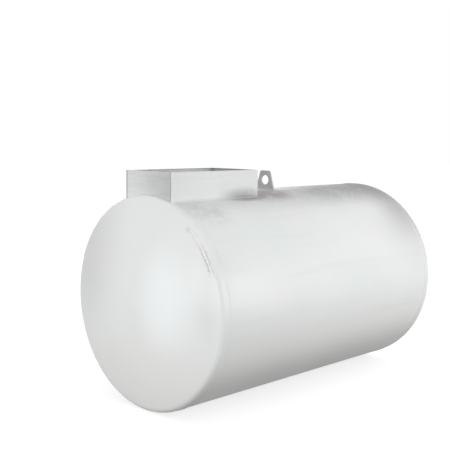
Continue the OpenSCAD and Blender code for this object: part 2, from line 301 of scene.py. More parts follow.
def turned_to(finish, degrees, half, fade):
    """1 within an angle of one direction round the vessel's axis, from its top towards -Y."""
    rise = finish.z - AXIS_Z
    middle = math.radians(degrees)
    share = (rise * math.cos(middle) - finish.y * math.sin(middle)) / from_axis(finish)
    return finish.step(share, math.cos(math.radians(half + fade)), math.cos(math.radians(half)))


def crown_dust_and_shade(finish, cloud):
    """Dust along the shell's crown with painted shade over the top, thickest towards the rear, and
    none on the front end.
    """
    crown = finish.step(finish.z, CROWN_Z - 0.14, CROWN_Z - 0.01)
    crown = crown * (0.75 + finish.step(cloud, 0.3, 0.6) * 0.25)
    past_front = finish.step(finish.x, -JOINT_X - 0.045, -JOINT_X)
    past_box = finish.step(finish.x, -0.75, -0.40)
    to_rear = finish.step(finish.x, -0.4, 0.7)
    return crown * past_front * (0.20 + past_box * 0.15 + to_rear * 0.53)


def rim_dust_and_shade(finish):
    """Dust and painted shade along the upper side of the rear end's rim."""
    rising = finish.step(finish.x, JOINT_X - 0.36, JOINT_X)
    falling = finish.step(finish.x, JOINT_X + 0.07, JOINT_X + 0.03)
    return rising * falling * finish.step(finish.z, AXIS_Z + 0.20, AXIS_Z + 0.54) * 0.58


def belly_grime_and_shade(finish, cloud):
    """Grime and painted shade low on the outside of the vessel, darker towards the bottom."""
    outside = finish.step(from_axis(finish), 0.60, 0.63)
    return finish.step(finish.z, 0.44, 0.17) * outside * (0.26 + cloud * 0.08)


def dust_and_shade_on(finish, broad=1.0):
    """Where dust and grime lie, with painted shade along the crown, the rear rim, the belly and
    the box's foot; broad is how much of the marks on the crown and round the box.
    """
    cloud = finish.noise(5.0, 5.0, 0.62, warp=0.6)
    specks = 0.8 + finish.step(finish.noise(38.0, 4.0, 0.6), 0.30, 0.55) * 0.2
    mottle = finish.step(finish.noise(14.0, 3.0, 0.55, warp=0.8), 0.38, 0.64)
    behind = finish.near(*DUST_BEHIND_BOX) * finish.step(cloud, 0.26, 0.56) * 0.55
    beside = finish.near(*DUST_BESIDE_BOX) * (
        finish.step(cloud, 0.30, 0.60) * 0.06 + mottle * 0.20)
    soft = (crown_dust_and_shade(finish, cloud) + behind + beside) * specks * broad
    clean = 1.0 - finish.sum("MINIMUM", soft, 1.0)
    for layer in (
        # The painted contact shadow at the box's foot
        finish.near(*BOX_FOOT_SHADE) * 0.50 * specks,
        finish.near(*BOX_FOOT_SHADE_CORE) * 0.72 * specks,
        belly_grime_and_shade(finish, cloud),
        rim_dust_and_shade(finish) * specks,
    ):
        clean = clean * (1.0 - layer)
    return 1.0 - clean


def crease_on(finish):
    """The pressed crease in the front end: the painted shade of its broken furrows, and the
    painted highlight on the ridge between them.
    """
    flecks = finish.step(finish.noise(62.0, 3.0, 0.75), 0.45, 0.56)
    depth = turned_to(finish, 52, 11, 6) * 0.35 + turned_to(finish, 59, 4, 6) * 0.65
    depth = depth * finish.step(finish.x, -JOINT_X, -JOINT_X - 0.04)
    off = from_axis(finish) - CREASE_R - finish.noise(34.0, 2.0, 0.5) * (12 * MM)
    inner = finish.step(abs(off), 8 * MM, 2 * MM) * (1.0 - flecks * 0.85)
    outer = finish.step(abs(off - TO_OUTER_FURROW), 7 * MM, 2 * MM) * flecks
    ridge = finish.step(abs(off - TO_RIDGE), 9 * MM, 2 * MM)
    return (inner + outer * 0.8) * depth, ridge * (0.1 + flecks * 0.9) * depth


def vessel_coat(coat):
    """The white coat sprayed over the vessel, with its orange peel, faint patches and dust, and
    painted shade and highlights.
    """
    finish = Finish("vessel_coat")
    patches = finish.noise(1.7, 3.0, 0.55)
    warm = finish.noise(3.1, 2.0, 0.5, finish.turn("ADD", finish.place, (7.0, 3.0, 1.0)))
    on_shell = finish.step(abs(finish.x), JOINT_X, JOINT_X - 0.05)
    low = finish.step(finish.z - on_shell * 0.12, 0.50, 0.34)
    streaks = finish.noise(1.0, 3.0, 0.55, finish.stretched(0.7, 14.0, 14.0))
    # Painted shade on the front end's far side and knuckle, and on the top of the rear
    painted_shade = sum(
        finish.near(centre, reach) * strength
        for centre, reach, strength in (SHADE_FAR_SIDE, SHADE_REAR, SHADE_KNUCKLE))
    dust_and_shade = dust_and_shade_on(finish)
    crease, ridge = crease_on(finish)
    # Painted shade in the crease's furrows, and a scuff's mark
    crease_shade_and_scuff = crease * 0.42 + finish.near(*SCUFF) * 0.22

    colour = finish.layered(
        coat.colour,
        (finish.step(patches, 0.35, 0.70), coat.patch),
        (finish.step(warm, 0.48, 0.72) * 0.5, coat.warm_patch),
        # A painted highlight on the front end, in the brightest colour of the coat
        (finish.near(*PAINTED_HIGHLIGHT_ON_END) * 0.84, coat.painted_highlight),
        (low * 0.6, coat.warm_patch),
        (finish.step(streaks, 0.50, 0.85) * on_shell * 0.08, coat.dust_and_shade),
        (painted_shade * 0.16, coat.dust_and_shade),
        (dust_and_shade, coat.dust_and_shade),
        # The painted highlight on the crease's ridge, then the furrows' painted shade and the
        # scuff
        (ridge * 0.8, coat.painted_highlight),
        (crease_shade_and_scuff, FURROW_SHADE_AND_SCUFF),
    )
    normal = finish.bump(finish.noise(210.0, 2.0, 0.5), coat.peel_depth, 0.6)
    normal = finish.bump(finish.noise(4.5, 1.0, 0.4), 2.5 * MM, 0.5, normal)
    normal = finish.bump(1.0 - crease, 2.0 * MM, 1.0, normal)
    return finish.surface({
        "Base Color": colour,
        "Roughness": coat.roughness + (patches - 0.5) * 0.16 + dust_and_shade * 0.35,
        "Coat Weight": 0.22 - dust_and_shade * 0.2,
        "Coat Roughness": 0.18,
        "Specular IOR Level": 0.45,
        "Normal": normal,
    })


def weld_coat(coat):
    """The same coat over a rippled bead, greyer in the valleys with painted shade."""
    finish = Finish("weld_coat")
    valley = finish.node("ShaderNodeAttribute", {"attribute_name": "valley"}, output="Fac")
    patches = finish.noise(9.0, 3.0, 0.55)
    # Painted shade in the ripples' valleys, broken up by a fine noise
    grime_and_shade = finish.noise(60.0, 4.0, 0.6)
    shade = finish.step(valley, 0.35, 1.0) * 0.45 * finish.step(grime_and_shade, 0.30, 0.60)
    colour = finish.layered(
        coat.colour,
        (finish.step(patches, 0.35, 0.70), coat.patch),
        (shade + dust_and_shade_on(finish) * 0.9, coat.dust_and_shade),
    )
    normal = finish.bump(finish.noise(420.0, 2.0, 0.5), 0.15 * MM, 0.7)
    return finish.surface({
        "Base Color": colour,
        "Roughness": 0.46 + shade * 0.5,
        "Coat Weight": 0.15,
        "Specular IOR Level": 0.45,
        "Normal": normal,
    })


def brushed_sheet(box):
    """Light grey sheet with the long streaks left by brushing, and painted shade towards the near
    corner and along the corner gaps.
    """
    finish = Finish("brushed_sheet")
    fine = finish.noise(1.0, 5.0, 0.7, finish.stretched(3.0, 3.0, 260.0))
    broad = finish.noise(1.0, 3.0, 0.6, finish.stretched(2.2, 2.2, 46.0))
    blotches = finish.step(finish.noise(6.5, 4.0, 0.6, warp=0.4), 0.50, 0.74)
    away = BOX_SIDE_Y - abs(finish.y)
    on_ends = finish.step(away, 2 * MM, 6 * MM)
    # Painted shade on the end panels, darker towards the near corner
    shade_to_near_corner = finish.step(finish.y, 0.19, -BOX_SIDE_Y - 0.02) * on_ends
    streaks = finish.step(fine, 0.36, 0.66) * 0.55 + finish.step(broad, 0.40, 0.68) * 0.45
    near_front = finish.step(finish.x, BOX_FRONT_X + 0.45, BOX_FRONT_X) * (1.0 - on_ends)
    share = (
        streaks * (0.09 + 0.30 * on_ends) + shade_to_near_corner * 0.80 + blotches * 0.12 + near_front * 0.16)
    # A painted shadow line in the gap at the end panels' outer corners
    corner = finish.step(abs(away - 8 * MM), 6 * MM, 2 * MM)
    outside = finish.step(finish.x, BOX_FRONT_X + 5 * MM, BOX_FRONT_X + 3 * MM)
    dust_and_shade = dust_and_shade_on(finish, 0.08)
    colour = finish.layered(
        box.colour,
        (finish.sum("MINIMUM", share, 1.0), box.streak_and_shade),
        (corner * outside * 0.45, box.grime_and_shade),
        (dust_and_shade, box.grime_and_shade),
    )
    normal = finish.bump(fine, 0.10 * MM, 0.5)
    normal = finish.bump(finish.noise(5.0, 1.0, 0.4), 1.2 * MM, 0.4, normal)
    return finish.surface({
        "Base Color": colour,
        "Roughness": 0.50 + streaks * 0.14 + dust_and_shade * 0.3,
        "Coat Weight": 0.06,
        "Normal": normal,
    })


def zinc_plate():
    """Bright zinc plating, dulled in clouds."""
    finish = Finish("zinc_plate")
    cloud = finish.noise(26.0, 4.0, 0.6, warp=0.5)
    grain = finish.noise(420.0, 3.0, 0.6)
    return finish.worn(
        ZINC, cloud, (0.34, 0.68), 0.28 + cloud * 0.28, grain, 0.05 * MM, 0.4, metallic=0.95)


def cast_alloy():
    """Sand-cast alloy, a little pitted and greyed."""
    finish = Finish("cast_alloy")
    pits = finish.noise(700.0, 3.0, 0.65)
    cloud = finish.noise(30.0, 4.0, 0.6)
    return finish.worn(
        ALLOY, cloud, (0.35, 0.70), 0.40 + pits * 0.25, pits, 0.12 * MM, 0.7, metallic=0.9)


def cut_steel():
    """Bare steel in the threads, turned bright and filmed with oil."""
    finish = Finish("cut_steel")
    rings = finish.noise(1.0, 3.0, 0.6, finish.stretched(20.0, 20.0, 900.0))
    stain = finish.noise(70.0, 4.0, 0.6)
    return finish.worn(
        STEEL, stain, (0.45, 0.72), 0.30 + stain * 0.30, rings, 0.05 * MM, 0.5, metallic=0.9)


def sheet_rubber():
    """Dark sheet rubber with a fabric's fine weave and a pale bloom."""
    finish = Finish("sheet_rubber")
    bloom = finish.noise(22.0, 4.0, 0.6)
    weave = finish.noise(1.0, 2.0, 0.5, finish.stretched(900.0, 900.0, 500.0))
    return finish.worn(
        RUBBER, bloom, (0.45, 0.75), 0.72 + bloom * 0.2, weave, 0.06 * MM, 0.6)


def finish_named(name):
    """A finish that is already made."""
    return bpy.data.materials[name]


# -------------------------------------------------------------------- shapes


def put_in_scene(name, mesh, sharp_deg=35):
    """An object of a mesh at the origin, smooth but for its sharp edges."""
    mesh.polygons.foreach_set("use_smooth", [True] * len(mesh.polygons))
    mesh.set_sharp_from_angle(angle=math.radians(sharp_deg))
    piece = bpy.data.objects.new(name, mesh)
    bpy.context.scene.collection.objects.link(piece)
    return piece


def mesh_of(name, shape):
    """A mesh from a closed shape, its doubles merged and its faces outwards."""
    bmesh.ops.remove_doubles(shape, verts=shape.verts, dist=1e-6)
    bmesh.ops.recalc_face_normals(shape, faces=shape.faces)
    mesh = bpy.data.meshes.new(name)
    shape.to_mesh(mesh)
    shape.free()
    return mesh


def final_mesh(piece):
    """Makes a piece's modifiers its own mesh, and drops them."""
    graph = bpy.context.evaluated_depsgraph_get()
    made = bpy.data.meshes.new_from_object(piece.evaluated_get(graph), depsgraph=graph)
    piece.modifiers.clear()
    piece.data = made
    made.name = piece.name
    return piece


def hand_over(piece, slot, *nodes, finish=None):
    """Gives a piece to the frame: its finish, and the CAD nodes that it stands for; its slot is
    not used.
    """
    if finish:
        piece.data.materials.clear()
        piece.data.materials.append(finish_named(finish))
    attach(piece, "root")
    if nodes:
        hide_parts(*nodes)
    return piece


def refinish(finish, *nodes):
    """Puts a finish on CAD nodes that are shown as they are."""
    for node in nodes:
        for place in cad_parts[node].material_slots:
            place.material = finish_named(finish)


def whole(name, node, flat_deg=0.4):
    """A copy of a CAD node whose faces share their points, with its flat faces in one."""
    shape = bmesh.new()
    shape.from_mesh(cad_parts[node].data)
    bmesh.ops.remove_doubles(shape, verts=shape.verts, dist=1e-5)
    if flat_deg:
        bmesh.ops.dissolve_limit(
            shape, angle_limit=math.radians(flat_deg), verts=shape.verts, edges=shape.edges)
    mesh = bpy.data.meshes.new(name)
    mesh.from_pydata(
        [v.co for v in shape.verts], [], [[v.index for v in f.verts] for f in shape.faces])
    shape.free()
    return put_in_scene(name, mesh)


def ease_edges(piece, width, over_deg=40):
    """Rounds a piece's edges that turn by more than an angle."""
    eased = piece.modifiers.new("Eased edges", "BEVEL")
    eased.width = width
    eased.segments = 3
    eased.limit_method = "ANGLE"
    eased.angle_limit = math.radians(over_deg)
    return final_mesh(piece)


def softened(name, node, width):
    """A copy of a CAD node with its sharp edges eased."""
    return ease_edges(whole(name, node), width)


def rounded(outline, radius, steps=3):
    """A closed outline with an arc in place of each corner that isn't on the axis."""
    eased = []
    side_share = 0.45
    for k, here in enumerate(outline):
        here = Vector(here)
        if here.x == 0:
            eased.append(here)
            continue
        back = Vector(outline[k - 1]) - here
        on = Vector(outline[(k + 1) % len(outline)]) - here
        reach = min(radius, side_share * back.length, side_share * on.length)
        start, end = here + back.normalized() * reach, here + on.normalized() * reach
        for i in range(steps + 1):
            t = i / steps
            eased.append(start * (1 - t) ** 2 + here * 2 * t * (1 - t) + end * t ** 2)
    return eased


def round_turn(steps):
    """The angles of even steps round a full turn."""
    return [2 * math.pi * k / steps for k in range(steps)]


def about(at, radius, angle, height):
    """A point at a radius, an angle and a height about an upright axis."""
    return (at.x + radius * math.cos(angle), at.y + radius * math.sin(angle), height)


def turned(name, outline, edge, at, steps=72):
    """A mesh turned about an upright axis: its closed outline in (radius, height), edges eased."""
    shape = bmesh.new()
    rings = []
    for radius, height in rounded(outline, edge):
        if radius == 0:
            rings.append([shape.verts.new((at.x, at.y, height))] * steps)
        else:
            rings.append([
                shape.verts.new(about(at, radius, a, height)) for a in round_turn(steps)])
    for low, high in zip(rings, rings[1:] + rings[:1]):
        for k in range(steps):
            corners = dict.fromkeys([low[k - 1], low[k], high[k], high[k - 1]])
            if len(corners) > 2:
                shape.faces.new(corners)
    return mesh_of(name, shape)


def tube(name, inner, outer, foot, top, edge, at, steps):
    """A tube, or a round bar where its inner radius is 0, with eased edges."""
    outline = [(inner, foot), (outer, foot), (outer, top), (inner, top)]
    return turned(name, outline, edge, at, steps)


def hexagon(name, across, low, high, at, chamfer_low=False, steps=36):
    """A hexagon head or nut, its corners chamfered as by a lathe."""
    face_r, chamfer_r, chamfer_slope = 0.47 * across, 0.485 * across, math.tan(math.radians(30))
    shape = bmesh.new()
    rings = [[], [], [], []]
    for a in round_turn(steps):
        rim = across / 2 / math.cos((a + math.pi / 6) % (math.pi / 3) - math.pi / 6)
        drop = max(0, rim - chamfer_r) * chamfer_slope
        profile = (
            (face_r if chamfer_low else rim, low),
            (rim, low + (drop if chamfer_low else 0)),
            (rim, high - drop),
            (face_r, high),
        )
        for ring, (radius, height) in zip(rings, profile):
            ring.append(shape.verts.new(about(at, radius, a, height)))
    for below, above in zip(rings, rings[1:]):
        for k in range(steps):
            shape.faces.new([below[k - 1], below[k], above[k], above[k - 1]])
    shape.faces.new(rings[0])
    shape.faces.new(rings[-1])
    return mesh_of(name, shape)


def joined(name, *meshes, sharp_deg=35):
    """One piece of several meshes, each with its own finish kept."""
    shape = bmesh.new()
    finishes = []
    for mesh in meshes:
        first = len(shape.faces)
        shape.from_mesh(mesh)
        shape.faces.ensure_lookup_table()
        base = len(finishes)
        for face in shape.faces[first:]:
            face.material_index += base
        finishes += list(mesh.materials) or [None]
    made = bpy.data.meshes.new(name)
    shape.to_mesh(made)
    shape.free()
    for finish in finishes:
        made.materials.append(finish)
    return put_in_scene(name, made, sharp_deg)


def discard(*pieces):
    """Takes out of the scene the pieces that only served to make another."""
    for piece in pieces:
        bpy.data.objects.remove(piece)


# --------------------------------------------------- shapes made by rule


def rule_tree(name, inputs):
    """A Geometry Nodes tree with its named inputs; gives the tree and each input's wire."""
    group = bpy.data.node_groups.new(name, "GeometryNodeTree")
    group.interface.new_socket("Geometry", in_out="OUTPUT", socket_type="NodeSocketGeometry")
    group.interface.new_socket("Geometry", in_out="INPUT", socket_type="NodeSocketGeometry")
    for label, (kind, value) in inputs.items():
        socket = group.interface.new_socket(label, in_out="INPUT", socket_type="NodeSocket" + kind)
        if value is not None:
            socket.default_value = value
    tree = Tree(group)
    start = tree.node("NodeGroupInput")
    return tree, {s.name: Wire(tree, s) for s in start.socket.node.outputs if s.name}


def close_rule(tree, geometry, material):
    """Ends a tree in one real mesh with its finish."""
    real = tree.node("GeometryNodeRealizeInstances", None, {"Geometry": geometry})
    done = tree.node("GeometryNodeSetMaterial", None, {"Geometry": real, "Material": material})
    tree.node("NodeGroupOutput", None, {"Geometry": done})
    return tree.tree


def grow(name, rule, values, start=None):
    """A piece made by a rule's tree: its inputs go in by identifier, and it ends as plain mesh."""
    group = bpy.data.node_groups[rule]
    piece = bpy.data.objects.new(name, start or bpy.data.meshes.new(name))
    bpy.context.scene.collection.objects.link(piece)
    modifier = piece.modifiers.new(rule, "NODES")
    modifier.node_group = group
    for item in group.interface.items_tree:
        if item.item_type == "SOCKET" and item.in_out == "INPUT" and item.name in values:
            modifier[item.identifier] = values[item.name]
    return final_mesh(piece)


def weld_rule():
    """The tree of a weld: an oval bead along a path, rippled like a row of fallen coins."""
    tree, put = rule_tree("Weld bead", {
        "Half width": ("Float", 7 * MM),
        "Half height": ("Float", 3 * MM),
        "Rise": ("Float", 0.0),
        "Ripple length": ("Float", 7 * MM),
        "Ripple depth": ("Float", 0.6 * MM),
        "Step": ("Float", 1.4 * MM),
        "Sides": ("Int", 14),
        "Seed": ("Float", 1.0),
        "Finish": ("Material", None),
    })
    path = tree.node("GeometryNodeMeshToCurve", None, {"Mesh": put["Geometry"]})
    path = tree.node(
        "GeometryNodeResampleCurve", {"mode": "LENGTH"}, {"Curve": path, "Length": put["Step"]})
    path = tree.node("GeometryNodeSetCurveNormal", {"mode": "FREE"}, {
        "Curve": path, "Normal": tree.stored("face", "FLOAT_VECTOR")})
    path = tree.store(path, "along", tree.node("GeometryNodeSplineParameter", output="Length"))
    oval = tree.node(
        "GeometryNodeCurvePrimitiveCircle", None, {"Resolution": put["Sides"], "Radius": 1.0})
    oval = tree.node("GeometryNodeTransform", None, {
        "Geometry": oval,
        "Translation": tree.vector(put["Rise"], 0, 0),
        "Scale": tree.vector(put["Half height"], put["Half width"], 1),
    })
    place = tree.node("GeometryNodeInputPosition")
    across = tree.node("ShaderNodeSeparateXYZ", None, {0: place}, "Y") / put["Half width"]
    weld = tree.sweep(path, tree.store(oval, "across", across))
    run, side = tree.stored("along"), tree.stored("across")
    sway = tree.node("ShaderNodeTexNoise", {"noise_dimensions": "4D"}, {
        "Vector": place, "W": put["Seed"], "Scale": 45.0, "Detail": 2.0}, "Fac")
    # The ripples bow back towards the bead's sides, and their spacing wanders
    phase = run / put["Ripple length"] - side * side * 0.7 + sway * 1.6
    valley = 1.0 - abs(tree.sum("SINE", phase * math.pi))
    weld = tree.store(weld, "valley", valley)
    drop = (valley + sway * 0.8) * put["Ripple depth"]
    normal = tree.node("GeometryNodeInputNormal")
    inwards = tree.node(
        "ShaderNodeVectorMath", {"operation": "SCALE"}, {"Vector": normal, "Scale": drop * -1.0})
    weld = tree.node("GeometryNodeSetPosition", None, {"Geometry": weld, "Offset": inwards})
    weld = tree.node("GeometryNodeSetShadeSmooth", None, {"Geometry": weld, "Shade Smooth": True})
    return close_rule(tree, weld, put["Finish"])


def ring_rule():
    """The tree of a ring of like items about an upright axis."""
    tree, put = rule_tree("Ring of items", {
        "Item": ("Object", None),
        "Count": ("Int", 12),
        "Radius": ("Float", 0.165),
        "First angle": ("Float", 0.0),
        "Spread of turns": ("Float", 0.0),
        "Centre": ("Vector", (0, 0, 0)),
        "Seed": ("Int", 1),
        "Finish": ("Material", None),
    })
    index = tree.node("GeometryNodeInputIndex")
    angle = index * (2 * math.pi) / put["Count"] + put["First angle"]
    spot = tree.vector(
        tree.sum("COSINE", angle) * put["Radius"], tree.sum("SINE", angle) * put["Radius"], 0)
    points = tree.node("GeometryNodePoints", None, {"Count": put["Count"], "Position": spot})
    twist = tree.node("FunctionNodeRandomValue", {"data_type": "FLOAT"}, {
        "Min_001": 0.0, "Max_001": put["Spread of turns"], "Seed": put["Seed"]}, "Value_001")
    turn = tree.node("FunctionNodeEulerToRotation", None, {0: tree.vector(0, 0, angle + twist)})
    item = tree.node("GeometryNodeObjectInfo", None, {"Object": put["Item"]}, "Geometry")
    ring = tree.node("GeometryNodeInstanceOnPoints", None, {
        "Points": points, "Instance": item, "Rotation": turn})
    ring = tree.node("GeometryNodeTransform", None, {
        "Geometry": ring, "Translation": put["Centre"]})
    return close_rule(tree, ring, put["Finish"])


def thread_rule():
    """The tree of a screw thread's ridge, wound down the wall of a bore."""
    tree, put = rule_tree("Thread", {
        "Bore radius": ("Float", 0.02),
        "Ridge": ("Float", 1 * MM),
        "Pitch": ("Float", 2.3 * MM),
        "Turns": ("Float", 10.0),
        "Foot": ("Vector", (0, 0, 0)),
        "Finish": ("Material", None),
    })
    helix = tree.node("GeometryNodeCurveSpiral", None, {
        "Resolution": 48,
        "Rotations": put["Turns"],
        "Start Radius": put["Bore radius"],
        "End Radius": put["Bore radius"],
        "Height": put["Turns"] * put["Pitch"],
    })
    ridge = tree.node(
        "GeometryNodeCurvePrimitiveCircle", None, {"Resolution": 4, "Radius": put["Ridge"]})
    wound = tree.node("GeometryNodeTransform", None, {
        "Geometry": tree.sweep(helix, ridge), "Translation": put["Foot"]})
    return close_rule(tree, wound, put["Finish"])


def thread(name, at, top, bore_r, ridge, pitch, depth, finish):
    """A thread's ridge in an upright bore, down to a depth under its top turn."""
    return grow(name, "Thread", {
        "Bore radius": bore_r,
        "Ridge": ridge,
        "Pitch": pitch,
        "Turns": depth / pitch,
        "Foot": Vector((at.x, at.y, top - depth)),
        "Finish": finish_named(finish),
    })


def ring_of(name, item, count, radius, at, finish, first_angle=0.0, spread=0.0, seed=1):
    """A ring of copies of an item about an upright axis, which takes the item's place."""
    ring = grow(name, "Ring of items", {
        "Item": item,
        "Count": count,
        "Radius": radius,
        "First angle": first_angle,
        "Spread of turns": spread,
        "Centre": (at.x, at.y, 0),
        "Seed": seed,
        "Finish": finish_named(finish),
    })
    discard(item)
    return ring


# --------------------------------------------------------------- weld paths


def shell_plate(at):
    """The shell's surface over a point in plan: the point on it, and the way it faces."""
    rise = math.sqrt(TANK_R ** 2 - at.y ** 2)
    return Vector((at.x, at.y, AXIS_Z + rise)), Vector((0, at.y, rise)) / TANK_R


def level_plate(height):
    """A level surface at a height, in the same terms."""
    return lambda at: (Vector((at.x, at.y, height)), UP)


def ring_plan(at, radius, steps):
    """A round wall in plan: its points, each with the way that the wall faces there."""
    middle = Vector((at.x, at.y, 0))
    walls = [Vector((math.cos(a), math.sin(a), 0)) for a in round_turn(steps)]
    return [(middle + wall * radius, wall) for wall in walls]


def oblong_plan(low, high, sides=4, gap=4 * MM, corner_steps=6):
    """The walls of an oblong in plan: its +Y side, then +X, -Y and -X, or the first few."""
    corners = [Vector((x, y, 0)) for x, y in (
        (low.x, high.y), (high.x, high.y), (high.x, low.y), (low.x, low.y))]
    walls = [Vector((0, 1, 0)), Vector((1, 0, 0)), Vector((0, -1, 0)), Vector((-1, 0, 0))]
    plan = []
    for k, wall in enumerate(walls[:sides]):
        start, end = corners[k], corners[(k + 1) % 4]
        count = max(2, round((end - start).length / gap))
        plan += [(start.lerp(end, (i + 0.5) / count), wall) for i in range(count)]
        if sides == 4 or k + 1 < sides:
            turn = wall.rotation_difference(walls[(k + 1) % 4])
            for i in range(1, corner_steps):
                part = Matrix.Rotation(turn.angle * i / corner_steps, 3, turn.axis)
                plan.append((end, part @ wall))
    return plan


def foot_path(plan, plate=shell_plate):
    """The line where a wall meets a plate, and the way that a fillet between them faces."""
    path = []
    for at, wall in plan:
        point, up = plate(at)
        along = wall.cross(up).normalized()
        path.append((point, (up.cross(along) + along.cross(wall)).normalized()))
    return path


def path_mesh(name, *paths, closed=True):
    """Paths as a mesh of edges whose points carry the way that the bead faces."""
    points, faces, edges = [], [], []
    for path in paths:
        first = len(points)
        points += [point for point, _ in path]
        faces += [face for _, face in path]
        edges += [(first + k, first + k + 1) for k in range(len(path) - 1)]
        if closed:
            edges.append((first + len(path) - 1, first))
    mesh = bpy.data.meshes.new(name)
    mesh.from_pydata(points, edges, [])
    face = mesh.attributes.new("face", "FLOAT_VECTOR", "POINT")
    face.data.foreach_set("vector", [c for way in faces for c in way])
    return mesh


# A fillet's oval, in legs: half its width, half its height, and its middle's rise from the corner
FILLET_HALF_W, FILLET_HALF_H, FILLET_RISE = 0.93, 0.47, 0.40

# A butt weld's cap: half its width, and how far its oval's middle lies under the plates' surface
BUTT_HALF_W, BUTT_SINK = 7.4 * MM, 1.2 * MM


def bead(name, nodes, weld, oval, ripple, path, sides, rings):
    """A rippled bead, handed over for its nodes, with some rings of faces in each ripple."""
    half_w, half_h, rise = oval
    laid = grow(name, "Weld bead", {
        "Half width": half_w,
        "Half height": half_h,
        "Rise": rise,
        "Ripple length": ripple,
        "Ripple depth": weld.ripple_depth,
        "Step": ripple / rings,
        "Sides": sides,
        "Seed": float(weld.seed),
        "Finish": finish_named("weld_coat"),
    }, path)
    hand_over(laid, "coated_weld", *nodes)


def fillet(name, nodes, leg, weld, *paths, closed=True, size=1.0):
    """A fillet weld of a leg's size, whose toes go into both of the plates."""
    oval = FILLET_HALF_W * leg * size, FILLET_HALF_H * leg * size, FILLET_RISE * leg
    path = path_mesh(name, *paths, closed=closed)
    bead(name, nodes, weld, oval, weld.fillet_ripple, path, sides=12, rings=4)


def butt_weld(name, node, weld, path, closed):
    """A cap of a butt weld, as high as the CAD's bead and no higher."""
    oval = BUTT_HALF_W, BEAD_H + BUTT_SINK, -BUTT_SINK
    path = path_mesh(name, path, closed=closed)
    bead(name, [node], weld, oval, weld.butt_ripple, path, sides=14, rings=5)


# ------------------------------------------------------------------ settings


def colour_of(name, description, default):
    """A colour that a user would change."""
    return bpy.props.FloatVectorProperty(
        name=name, description=description, default=default, size=4, min=0, max=1, subtype="COLOR")


def length_of(name, description, default):
    """A length that a user would change."""
    return bpy.props.FloatProperty(
        name=name, description=description, default=default, min=0, unit="LENGTH", precision=5)


def angle_of(name, description, degrees):
    """An angle that a user would change."""
    return bpy.props.FloatProperty(
        name=name, description=description, default=math.radians(degrees), subtype="ANGLE")


def power_of(name, description, watts):
    """A lamp's power, which a user would change."""
    return bpy.props.FloatProperty(
        name=name, description=description, default=watts, min=0, unit="POWER")


def count_of(name, description, default, least):
    """A count that a user would change."""
    return bpy.props.IntProperty(name=name, description=description, default=default, min=least)


class TankCoatSettings(bpy.types.PropertyGroup):
    """The coat over the vessel and its welds."""

    colour: colour_of("Colour", "Colour of the fresh coat", (0.80, 0.825, 0.815, 1))
    patch: colour_of("Patches", "Colour of the thicker patches", (0.775, 0.805, 0.795, 1))
    warm_patch: colour_of("Warm patches", "Colour of the thinner patches", (0.815, 0.80, 0.79, 1))
    # The colour of the painted highlights on the front end and on the crease's ridge
    painted_highlight: colour_of("Fresh patch", "Colour of the thickest coat", (0.90, 0.92, 0.93, 1))
    # Also the colour of the painted shade on the coat and in the weld's valleys
    dust_and_shade: colour_of("Dust", "Colour of the dust and grime", (0.335, 0.312, 0.315, 1))
    roughness: bpy.props.FloatProperty(
        name="Roughness", description="Roughness of the clean coat", default=0.44, min=0, max=1)
    peel_depth: length_of("Orange peel", "Depth of the coat's orange peel", 0.25 * MM)


class TankWeldSettings(bpy.types.PropertyGroup):
    """The ripples of the weld beads."""

    butt_ripple: length_of("Butt ripple", "Length of a ripple in the butt welds", 7 * MM)
    fillet_ripple: length_of("Fillet ripple", "Length of a ripple in the fillet welds", 5 * MM)
    ripple_depth: length_of("Ripple depth", "Depth of the valleys between ripples", 0.55 * MM)
    box_leg: length_of("Box fillet", "Leg of the fillet round the box's foot", 6 * MM)
    corner_leg: length_of("Corner fillet", "Leg of the fillets in the box's corners", 5 * MM)
    fitting_leg: length_of("Fitting fillet", "Leg of the fillets round the fittings", 5 * MM)
    seam_angle: angle_of("Seam angle", "Place of the shell's seam, up from the horizontal", 25)
    seed: count_of("Seed", "Seed of the welder's unevenness", 4, 0)


class TankBoxSettings(bpy.types.PropertyGroup):
    """The sheet-steel box round the fittings."""

    colour: colour_of("Sheet", "Colour of the sheet", (0.765, 0.785, 0.775, 1))
    # The streaks' colour also paints the end panels' shade, and the grime's colour the shadows in
    # the corner gaps and at the box's foot
    streak_and_shade: colour_of("Streaks", "Colour of the brushed streaks", (0.50, 0.51, 0.505, 1))
    grime_and_shade: colour_of("Grime", "Colour of the grime at the box's foot", (0.16, 0.15, 0.145, 1))
    edge: length_of("Edges", "Radius of the sheet's eased edges", 0.5 * MM)


class TankHatchSettings(bpy.types.PropertyGroup):
    """The inspection hatch, its bolts and its handles."""

    edge: length_of("Edges", "Radius of the eased edges of flange and cover", 1 * MM)
    bolt_count: count_of("Bolts", "Number of bolts round the cover", 12, 3)
    bolt_circle: length_of("Bolt circle", "Radius of the circle that the bolts stand on", 165 * MM)
    bolt_d: length_of("Bolt", "Shank diameter of a bolt", 12 * MM)
    washer_t: length_of("Washer", "Thickness of a washer", 2.5 * MM)


class TankSocketSettings(bpy.types.PropertyGroup):
    """The sockets, their threads, the fill cap and the gauge plug."""

    pitch: length_of("Pitch", "Pitch of the pipe threads", 2.309 * MM)
    ridge: length_of("Ridge", "Height of the threads' ridges", 0.9 * MM)
    depth: length_of("Threaded depth", "Length of the threads from the mouth", 32 * MM)
    edge: length_of("Edges", "Radius of the turned parts' eased edges", 1.2 * MM)
    ribs: count_of("Ribs", "Number of grip ribs round the fill cap", 40, 8)


class TankLugSettings(bpy.types.PropertyGroup):
    """The lifting lug and the earthing boss."""

    edge: length_of("Edges", "Radius of the lug's ground edges", 1.5 * MM)
    earth_bore: length_of("Earth bore", "Diameter of the earthing boss's tapped hole", 8.5 * MM)
    earth_pitch: length_of("Earth pitch", "Pitch of the earthing boss's thread", 1.25 * MM)


